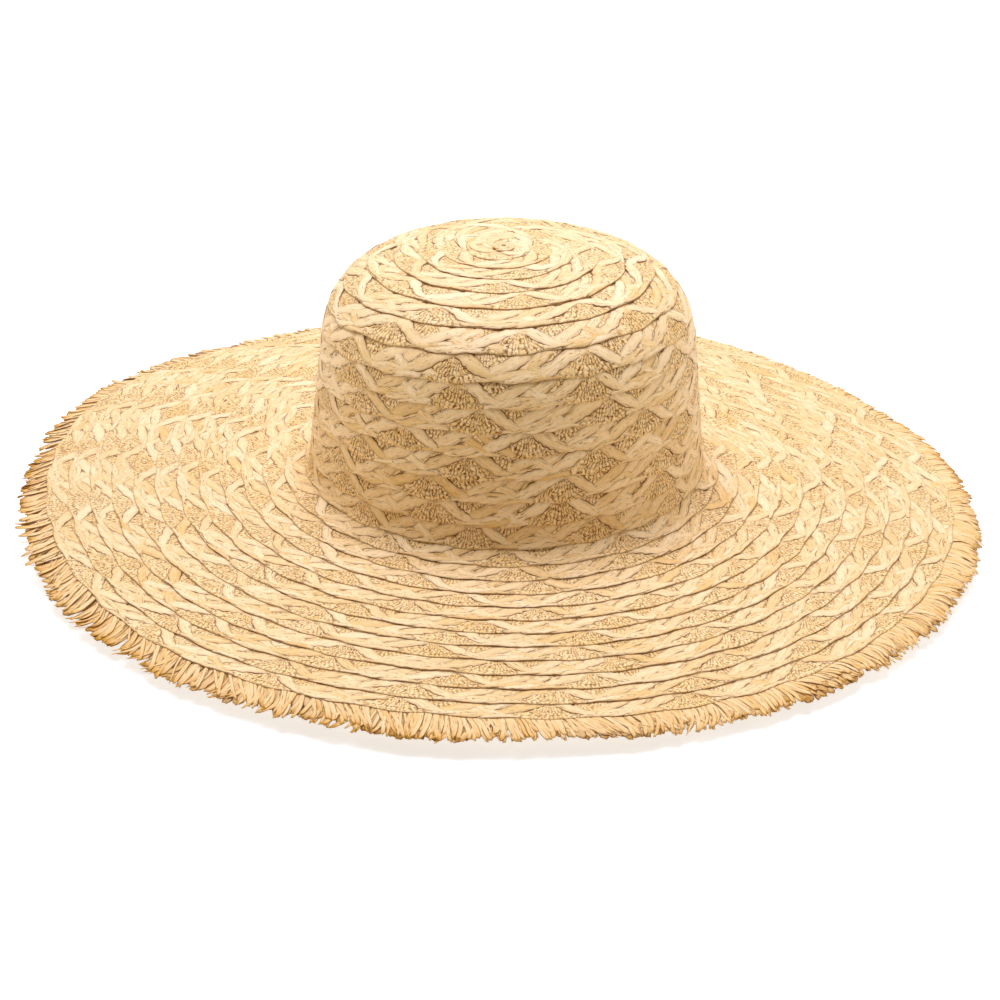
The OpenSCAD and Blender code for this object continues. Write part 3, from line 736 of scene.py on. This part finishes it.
# fringe: frayed straws held under the last course
def fringe():
    b = Buf()
    rows, t0, t1 = 8, 25.5, 26.5
    total = 2 * np.pi * 224.0
    for layer, (step, seed, wide) in enumerate(((1.75, 5, 2.7), (1.75, 19, 2.5), (2.0, 41, 4.2))):
        n = int(total / step)
        g = np.linspace(0, 1, n, endpoint=False) + RNG.normal(0, 0.22 / n, n)
        t = t0 + 0.003 + np.clip(g, 0, 1) * (t1 - t0 - 0.006)
        th0 = np.radians(-90 - 360 * t)
        open0 = ss((-np.cos(th0) - 0.05) / 0.7)
        period = 5.2
        phase = g * total / period + 0.45 * noise2(g * total / 23.0, g * 0 + 3, 90 + layer)
        g = g - open0 * 0.82 * np.sin(2 * np.pi * phase) * period / (2 * np.pi) / total * (1 if layer < 2 else 0.3)
        t = t0 + 0.003 + np.clip(g, 0, 1) * (t1 - t0 - 0.006)
        frac = phase - np.floor(phase)
        keep = (RNG.uniform(0.05, 0.9, n) > open0) | (np.abs(frac - 0.5) > 0.29) if layer < 2 else np.full(n, True)
        g, t, open0, n = g[keep], t[keep], open0[keep], int(keep.sum())
        ang = g * total
        lean = 0.48 + noise2(ang / 14.0, ang * 0, seed) * 0.3 + noise2(ang / 37.0, ang * 0 + 5, seed) * 0.25 + noise2(ang / 3.1, ang * 0 + 9, seed) * 0.10 + RNG.normal(0, 0.07, n)
        bend = noise2(ang / 17.0, ang * 0 + 2, seed + 1) * 0.35 + RNG.normal(0, 0.10, n) - 0.3
        length = (13.9 - layer * 0.3) * (1 + 0.05 * noise2(ang / 11.0, ang * 0 + 4, seed) + RNG.normal(0, 0.045, n))
        length *= np.where(RNG.uniform(0, 1, n) < 0.07, RNG.uniform(0.7, 0.9, n), 1)
        wid = np.clip(RNG.normal(wide, 0.5, n), 1.4, 4.6)
        length *= 1 + 0.18 * ss((0.15 + np.cos(2 * np.pi * t)) / 0.5)
        turn = t - np.round(t)  # 0 at the front, rising to the hat's right (the picture's left)
        length *= 1 + 0.12 * np.exp(-((turn - 0.19) / 0.05) ** 2) - 0.10 * np.exp(-((turn + 0.10) / 0.035) ** 2) - 0.10 * np.exp(-((turn + 0.012) / 0.02) ** 2)
        s = np.linspace(0, 1, rows)
        along = (lean[:, None] * s + bend[:, None] * (s ** 2)) * length[:, None]
        out = s[None] * length[:, None] * np.cos(lean)[:, None]
        crump = 0.5 + 0.5 * noise2(ang / 40.0, ang * 0 + 12, 3)
        drop = RNG.normal(0, 0.16, n)[:, None] * s ** 1.5 + (0.5 * noise2(ang / 9.0, ang * 0 + 6, seed)[:, None] * crump[:, None] - 0.15) * s ** 2
        drop = drop + (1.2 * np.exp(-((turn[:, None] + 0.10) / 0.035) ** 2) + 0.9 * np.exp(-((turn[:, None] + 0.012) / 0.02) ** 2)) * s ** 1.5
        drop = drop + 0.14 * np.sin(s[None] * RNG.uniform(3, 8, n)[:, None] + RNG.uniform(0, 6.3, n)[:, None]) * s
        th = np.radians(-90 - 360 * t)
        open_ = 0.18 + 0.82 * ss((-np.cos(th) - 0.1) / 0.8)  # the left side stands open, the right lies flat
        if layer == 2:
            length = length * (0.86 - 0.32 * open_)
        wid = wid * (0.86 + 0.14 * open_ if layer < 2 else 1.1)
        z0 = -0.62 - 0.2 * layer
        wob = 0.3 * np.sin(s[None] * RNG.uniform(4, 11, n)[:, None] + RNG.uniform(0, 6.3, n)[:, None]) * s
        vv = np.array([-1.0, -0.6, 0.0, 0.6, 1.0, 0.0])
        zz = np.array([-0.03, 0.03, 0.12, 0.03, -0.03, -0.08])
        curl = (0.05 + 0.4 * open_ * RNG.uniform(-0.5, 1, n))[:, None, None]
        taper = np.interp(s, [0, 0.15, 0.7, 0.92, 1], [0.95, 1, 0.98, 0.88, 0.45])
        twist = 0.03 + open_[:, None] * (0.06 + RNG.normal(0, 0.24, n)[:, None] * s) + RNG.normal(0, 0.02, n)[:, None]
        if layer == 2:
            twist = twist * 0
        half = (wid[:, None] * taper[None] / 2)[..., None]
        a_mm = (along + wob)[..., None] + vv * half * np.cos(twist)[..., None]
        skew = RNG.normal(0, 0.35, n)[:, None, None] * vv * half * (s[None, :, None] > 0.8)
        d_mm = 0.9 - out[..., None] + skew + np.zeros_like(a_mm)
        z_mm = z0 + drop[..., None] + zz + vv * half * np.sin(twist)[..., None] - curl * (vv ** 2) * half
        tcc = t[:, None, None] - a_mm / total
        p = at(hat_edge(np.clip(tcc, 25.5, 26.5)) - np.maximum(d_mm, -19.2), -90 - 360 * tcc, z_mm + tilt(np.array(0.0), np.array(26.0)))
        tint = np.ones(p.shape[:3] + (4,))
        tipped = np.clip(0.6 + 0.5 * noise2(ang / 60.0, ang * 0 + 1, 77), 0.2, 1)[:, None, None]
        tint[..., 0] = np.clip(RNG.normal(0.5, 0.2, n), 0, 1)[:, None, None] + 0.12 - (s[None, :, None] ** 5) * 1.5 * tipped
        # Darkened rims (tint G): partly the strips' own brown edges, partly painted shade in the slits between them.
        # The lowest layer is darkened as a whole, more on the flat side than the open side: painted shade under the
        # strips above. The darker tips are the straws' own golden-brown.
        rim = np.interp(np.abs(vv), [0, 0.6, 1], [0, 0.12, 1])[None, None]
        tint[..., 1] = np.clip(rim * 0.8 + (s[None, :, None] ** 10) * 0.4 * tipped + ((0.55 - 0.3 * open_[:, None, None]) if layer == 2 else 0.0), 0, 1)
        fib = np.zeros(p.shape[:3] + (3,))
        fib[..., 0] = (s[None] * length[:, None])[..., None]
        fib[..., 1] = vv * 1.1
        fib[..., 2] = RNG.uniform(0, 500, n)[:, None, None]
        p[..., 2] = np.maximum(p[..., 2], 0.0004)
        b.add(p, loft_faces(n, rows, 6), 0, tint, fib)
    o = b.make("frayed_straw_fringe", [M_FRINGE])
    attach(o, "root")
    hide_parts("straw_fringe")


fringe()


# header tape under the last course: a plain woven tape
def woven(name, cols, rows, point, mats, replaces, thick):
    """A closed woven ring: point(g, h, z) gives a place from its way round (0-1), across (0-1) and height off its face (mm)."""
    b = Buf()
    g = np.arange(cols) / cols
    h = np.linspace(0, 1, rows)
    gg, hh = np.meshgrid(g, h, indexing="ij")
    jj, kk = np.meshgrid(np.arange(cols), np.arange(rows), indexing="ij")
    bump = 0.10 * np.where((jj // 2 + kk) % 2 == 0, 1.0, -1.0) * np.where(jj % 2 == 0, 1.0, 0.5)
    face = point(gg, hh, bump)
    back = point(gg, hh, np.full_like(bump, thick) - bump * 0.6)
    v = np.concatenate([face, back], 1)
    m = rows * 2
    order = np.concatenate([np.arange(rows), rows + np.arange(rows)[::-1]])
    j = np.arange(cols)[:, None]
    k = np.arange(m)[None]
    a0, a1 = order[k], order[(k + 1) % m]
    jn = (j + 1) % cols
    q = np.stack([j * m + a0, j * m + a1, jn * m + a1, jn * m + a0], -1).reshape(-1, 4)
    tint = np.ones((cols, m, 4))
    # Painted light and shade: raised threads drawn lighter (tint R) and sunken threads darker (tint G).
    tint[..., 0] = 0.5 + 0.4 * np.concatenate([bump, bump], 1) / 0.1
    tint[..., 1] = np.clip(0.5 - np.concatenate([bump, bump], 1) / 0.1, 0, 1) * 0.8
    fib = np.zeros((cols, m, 3))
    fib[..., 0] = (g * 1400)[:, None]
    fib[..., 1] = np.concatenate([h, h])[None] * 8
    b.add(v, [q], 0, tint, fib)
    o = b.make(name, mats)
    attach(o, "root")
    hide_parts(replaces)
    return o


M_TAPE = straw_mat("header_tape_cotton", rgb(0.78, 0.62, 0.40), rgb(0.64, 0.47, 0.26), rgb(0.42, 0.28, 0.13), edge_amt=0.8, bump=0.2, rough=0.8)
M_BAND = straw_mat("sweatband_grosgrain", rgb(0.80, 0.66, 0.45), rgb(0.70, 0.54, 0.34), rgb(0.42, 0.30, 0.16), edge_amt=0.8, bump=0.15, rough=0.75)


def tape_point(g, h, z):
    t = 25.5 + g
    d = 1.1 + 8.0 * h
    tc = 25.5 + g
    return at(hat_edge(tc) - d, -90 - 360 * t, tilt(d, tc) - 1.2 * 0.5 - 0.12 - 0.6 + z + 0.0)


woven("woven_header_tape", 1600, 9, tape_point, [M_TAPE], "fringe_header_tape", 0.5)


def band_point(g, h, z):
    a = g * 2 * np.pi
    zz = BAND_Z0 + (BAND_Z1 - BAND_Z0) * h
    side = SIDE_R0 + (SIDE_R1 - SIDE_R0) * h
    r = np.where(z > 0.9, side, BAND_R + 0.12 - z * 0.8)
    return np.stack([AXIS_X + r * np.cos(a), AXIS_Y + r * np.sin(a), zz], -1) * 0.001


def sweatband():
    b = Buf()
    cols, rows = 2 * 620, 11
    g = np.arange(cols) / cols
    h = np.linspace(0, 1, rows)
    gg, hh = np.meshgrid(g, h, indexing="ij")
    rib = np.where(np.arange(cols) % 2 == 0, 1.0, -1.0)[:, None] * np.ones((1, rows))
    a = gg * 2 * np.pi
    lip = np.array([0.9, 0.25] + [0.0] * (rows - 4) + [0.1, 0.7])[None]
    z = BAND_Z0 + (BAND_Z1 - BAND_Z0) * hh
    r_in = BAND_R + 0.12 - 0.1 * rib * np.where((hh > 0.04) & (hh < 0.96), 1, 0.3) + lip
    r_out = SIDE_R0 + (SIDE_R1 - SIDE_R0) * hh - 0.05
    r_out = np.minimum(r_out, r_in + 1.0)
    inner = np.stack([AXIS_X + r_in * np.cos(a), AXIS_Y + r_in * np.sin(a), z], -1) * 0.001
    outer = np.stack([AXIS_X + r_out * np.cos(a), AXIS_Y + r_out * np.sin(a), z], -1) * 0.001
    v = np.concatenate([inner, outer], 1)
    m = rows * 2
    order = np.concatenate([np.arange(rows), rows + np.arange(rows)[::-1]])
    j, k = np.arange(cols)[:, None], np.arange(m)[None]
    a0, a1 = order[k], order[(k + 1) % m]
    jn = (j + 1) % cols
    q = np.stack([j * m + a0, jn * m + a0, jn * m + a1, j * m + a1], -1).reshape(-1, 4)
    tint = np.ones((cols, m, 4))
    tint[..., 0] = 0.55
    # Painted shade: the sunken ribs of the grosgrain darkened (tint G).
    tint[..., 1] = np.concatenate([0.5 - 0.5 * rib, 0.5 - 0.5 * rib], 1) * 0.7
    fib = np.zeros((cols, m, 3))
    fib[..., 0] = np.concatenate([h, h])[None] * 28
    fib[..., 1] = (g * 567)[:, None]
    b.add(v, [q], 0, tint, fib)
    o = b.make("grosgrain_sweatband", [M_BAND])
    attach(o, "root")
    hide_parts("sweatband")
    # its row of stitches
    s = Buf()
    n = 190
    for i in range(n):
        a = np.linspace(-0.5, 0.5, 6) * 2 * math.pi / n * 0.62 + i * 2 * math.pi / n
        lift = np.array([0.15, -0.32, -0.5, -0.5, -0.32, 0.15])
        r = (BAND_R + SIDE_R0) / 2
        p = np.stack([AXIS_X + r * np.cos(a), AXIS_Y + r * np.sin(a), BAND_Z0 - 0.1 + lift * 0.7], -1) * 0.001
        tube(p, np.array([0.1, 0.22, 0.26, 0.26, 0.22, 0.1]) * 0.001, 6, s, 0, shade=0.3 + 0.4 * (i % 3) / 2, along0=i * 3.0, up=np.array([0.0, 0.0, 1.0]))
    o = s.make("stitches_sweatband", [M_THREAD])
    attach(o, "root")
    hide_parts("sweatband_stitching")


sweatband()

# ---------------------------------------------------------------- floor, light, camera
me = bpy.data.meshes.new("floor")
R, NS = 30.0, 64
fv = [(0, 0, -0.0003)] + [(R * math.cos(a * 2 * math.pi / NS), R * math.sin(a * 2 * math.pi / NS), -0.0003) for a in range(NS)]
me.from_pydata(fv, [], [(0, 1 + a, 1 + (a + 1) % NS) for a in range(NS)])
floor = bpy.data.objects.new("floor", me)
bpy.context.scene.collection.objects.link(floor)
fm = bpy.data.materials.new("floor_white")
fm.use_nodes = True
fp = fm.node_tree.nodes["Principled BSDF"]
fp.inputs["Base Color"].default_value = (0.70, 0.76, 0.83, 1)
fp.inputs["Roughness"].default_value = 0.9
fp.inputs["Specular IOR Level"].default_value = 0.1
fp.inputs["Emission Color"].default_value = (0.98, 0.99, 1.0, 1)
fp.inputs["Emission Strength"].default_value = 0.63
me.materials.append(fm)

# a plain white backdrop far behind the floor, for low angles: only the camera sees it, so it casts no light or shadow
bd_mesh = bpy.data.meshes.new("backdrop")
ring = [((R - 0.5) * math.cos(a * 2 * math.pi / NS), (R - 0.5) * math.sin(a * 2 * math.pi / NS)) for a in range(NS)]
bd_mesh.from_pydata([(x, y, -0.0003) for x, y in ring] + [(x, y, 25.0) for x, y in ring], [], [(a, NS + a, NS + (a + 1) % NS, (a + 1) % NS) for a in range(NS)])
backdrop = bpy.data.objects.new("backdrop", bd_mesh)
bpy.context.scene.collection.objects.link(backdrop)
bm = bpy.data.materials.new("backdrop_white")
bm.use_nodes = True
bp = bm.node_tree.nodes["Principled BSDF"]
bp.inputs["Base Color"].default_value = (0.0, 0.0, 0.0, 1)
bp.inputs["Emission Color"].default_value = (1.0, 1.0, 1.0, 1)
bp.inputs["Emission Strength"].default_value = 1.0
bd_mesh.materials.append(bm)
backdrop.visible_diffuse = False
backdrop.visible_glossy = False
backdrop.visible_transmission = False
backdrop.visible_volume_scatter = False
backdrop.visible_shadow = False

scene = bpy.context.scene
world = bpy.data.worlds.new("studio")
scene.world = world
world.use_nodes = True
bg = world.node_tree.nodes["Background"]
bg.inputs[0].default_value = (1.0, 0.74, 0.42, 1)
bg.inputs[1].default_value = 0.17

sun = bpy.data.lights.new("overhead", "SUN")
sun.energy = 2.08
sun.angle = math.radians(40)
sun.color = (0.97, 0.99, 1.10)
so = bpy.data.objects.new("overhead", sun)
so.rotation_euler = Vector((-0.10, 0.14, 1.0)).to_track_quat("Z", "Y").to_euler()
scene.collection.objects.link(so)

box = bpy.data.lights.new("back_softbox", "AREA")
box.shape = "RECTANGLE"
box.size, box.size_y = 3.6, 2.0
box.energy = 32.0
box.color = (1.0, 0.99, 0.96)
bo = bpy.data.objects.new("back_softbox", box)
bo.location = (0.0, 2.7, 1.9)
bo.rotation_euler = Vector((0.0, 2.7, 1.85)).to_track_quat("Z", "Y").to_euler()
scene.collection.objects.link(bo)

top = bpy.data.lights.new("top_softbox", "AREA")
top.shape = "DISK"
top.size = 0.4
top.energy = 2.6
top.color = (0.80, 0.95, 1.5)
to = bpy.data.objects.new("top_softbox", top)
to.location = (0.0, 0.12, 0.82)
scene.collection.objects.link(to)

for nm, xx in (("left_softbox", -2.3), ("right_softbox", 2.3)):
    sb = bpy.data.lights.new(nm, "AREA")
    sb.shape = "SQUARE"
    sb.size = 1.6
    sb.energy = 14.0 if xx < 0 else 19.0
    sb.color = (1.0, 0.95, 0.86)
    sbo = bpy.data.objects.new(nm, sb)
    sbo.location = (xx, 0.1, 1.1)
    sbo.rotation_euler = Vector((xx, 0.1, 1.05)).to_track_quat("Z", "Y").to_euler()
    scene.collection.objects.link(sbo)

cam = bpy.data.cameras.new("camera")
cam.lens = 120.839
cam.sensor_width = 36.0
cam.clip_start = 0.05
cam.clip_end = 200
co = bpy.data.objects.new("camera", cam)
pos = Vector((0.00227388, -1.48392, 0.765995))
tgt = Vector((-0.00048158, 0.00255812, 0.00598684))
fwd = (tgt - pos).normalized()
rot = fwd.to_track_quat("-Z", "Y").to_matrix().to_4x4()
co.matrix_world = Matrix.Translation(pos) @ rot @ Matrix.Rotation(math.radians(1.0375), 4, "Z")
scene.collection.objects.link(co)
scene.camera = co
scene.view_settings.view_transform = "Standard"
scene.view_settings.look = "None"
